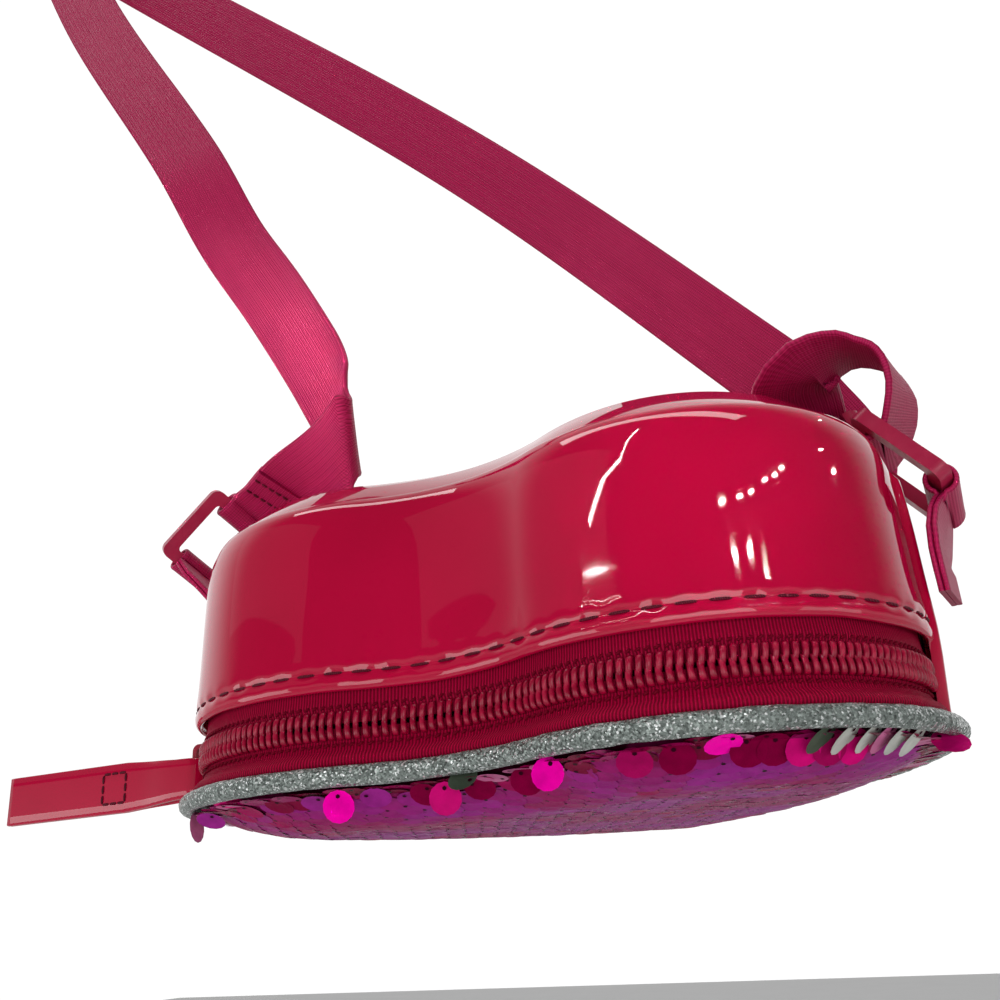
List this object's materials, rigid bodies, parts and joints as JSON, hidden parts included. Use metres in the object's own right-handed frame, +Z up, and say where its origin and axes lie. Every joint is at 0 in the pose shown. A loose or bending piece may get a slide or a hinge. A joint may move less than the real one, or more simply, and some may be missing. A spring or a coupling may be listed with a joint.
{
  "type": "heart shaped purse",
  "caption": "Heart-shaped child's zip purse of glossy vinyl with a sequinned padded front, glitter piping, coil zip and webbing shoulder strap.",
  "frame": {"origin": "crown of the shoulder strap, where the purse is held", "axes": "+X across the heart to the right lobe as seen, +Y from the heart's notch to its tip, +Z up from the sequinned front to the padded back"},
  "size_m": [0.2835, 0.1515, 0.3631],
  "materials": {
    "vinyl": "crimson patent vinyl, very glossy",
    "lining": "plain woven lining",
    "foam": "soft padding, hidden",
    "board": "stiff board, hidden",
    "sequin": "glossy magenta flip sequins",
    "glitter": "silver glitter piping",
    "zip_tape": "twill zip tape",
    "zip_coil": "dark red nylon coil",
    "zip_metal": "red painted slider",
    "thread": "dark red thread",
    "webbing": "satin polyester webbing",
    "ring_plastic": "pink moulded plastic, satin"
  },
  "bodies": {
    "purse": {"back_board": "board", "back_foam": "foam", "back_lining": "lining", "back_panel": "vinyl", "edge_sequins_fixed": "sequin", "front_foam_fixed": "foam", "front_lining_fixed": "lining", "gusset_band": "vinyl", "gusset_hem_turn": "vinyl", "gusset_lower": "vinyl", "hem_topstitch": "thread", "lining_band": "lining", "lining_lower": "lining", "piping_fixed": "glitter", "seam_lap_left": "vinyl", "seam_lap_right": "vinyl", "sequin_panel_fixed": "sequin", "strap_left_lower": "webbing", "strap_left_upper": "webbing", "strap_loop": "webbing", "strap_return": "webbing", "strap_right_upper": "webbing", "tab_left": "webbing", "tab_right": "webbing", "zip_coil_back": "zip_coil", "zip_coil_park": "zip_coil", "zip_tape_back": "zip_tape", "zip_tape_park": "zip_tape"},
    "front_flap": {"sequin_panel_flap": "sequin", "front_foam_flap": "foam", "front_lining_flap": "lining", "piping_flap": "glitter", "edge_sequins_flap": "sequin", "zip_tape_front": "zip_tape", "zip_coil_front": "zip_coil"},
    "zip_slider": {"zip_slider": "zip_metal", "zip_bail": "zip_metal"},
    "zip_pull": {"pull_link": "zip_metal", "pull_strip": "vinyl", "pull_stitch": "thread"},
    "left_ring": {"ring_left": "ring_plastic", "strap_left_fold": "webbing", "strap_fold_stitch": "thread"},
    "right_ring": {"ring_right": "ring_plastic", "strap_right_turn": "webbing"},
    "strap_slide": {"strap_slide": "ring_plastic"}
  },
  "joints": [
    {"name": "flap_fold", "type": "hinge", "parent": "purse", "child": "front_flap", "pos_m": [0.183, 0.015, -0.3569], "axis": [1, 0, 0], "range_deg": [0, 110]},
    {"name": "zip_run", "type": "hinge", "parent": "purse", "child": "zip_slider", "pos_m": [0.147, 0.012, -0.3404], "axis": [0, 0, 1], "range_deg": [0, 96]},
    {"name": "pull_swing", "type": "hinge", "parent": "zip_slider", "child": "zip_pull", "pos_m": [0.10223, 0.00531, -0.3404], "axis": [0, 0, 1], "range_deg": [-75, 75]},
    {"name": "left_ring_tilt", "type": "hinge", "parent": "purse", "child": "left_ring", "pos_m": [0.085, 0.014, -0.2865], "axis": [0.2498, 0.8294, -0.4996], "range_deg": [-20, 20], "deforming": ["strap_left_lower"]},
    {"name": "right_ring_tilt", "type": "hinge", "parent": "purse", "child": "right_ring", "pos_m": [0.2679, 0.0315, -0.3028], "axis": [-0.0809, 0.9916, -0.1012], "range_deg": [0, 30], "deforming": ["strap_loop", "strap_return"]},
    {"name": "strap_adjust", "type": "slide", "parent": "purse", "child": "strap_slide", "axis": [0.0599, 0.9982, 0], "range_m": [-0.005, 0.005], "deforming": ["strap_loop"]}
  ]
}
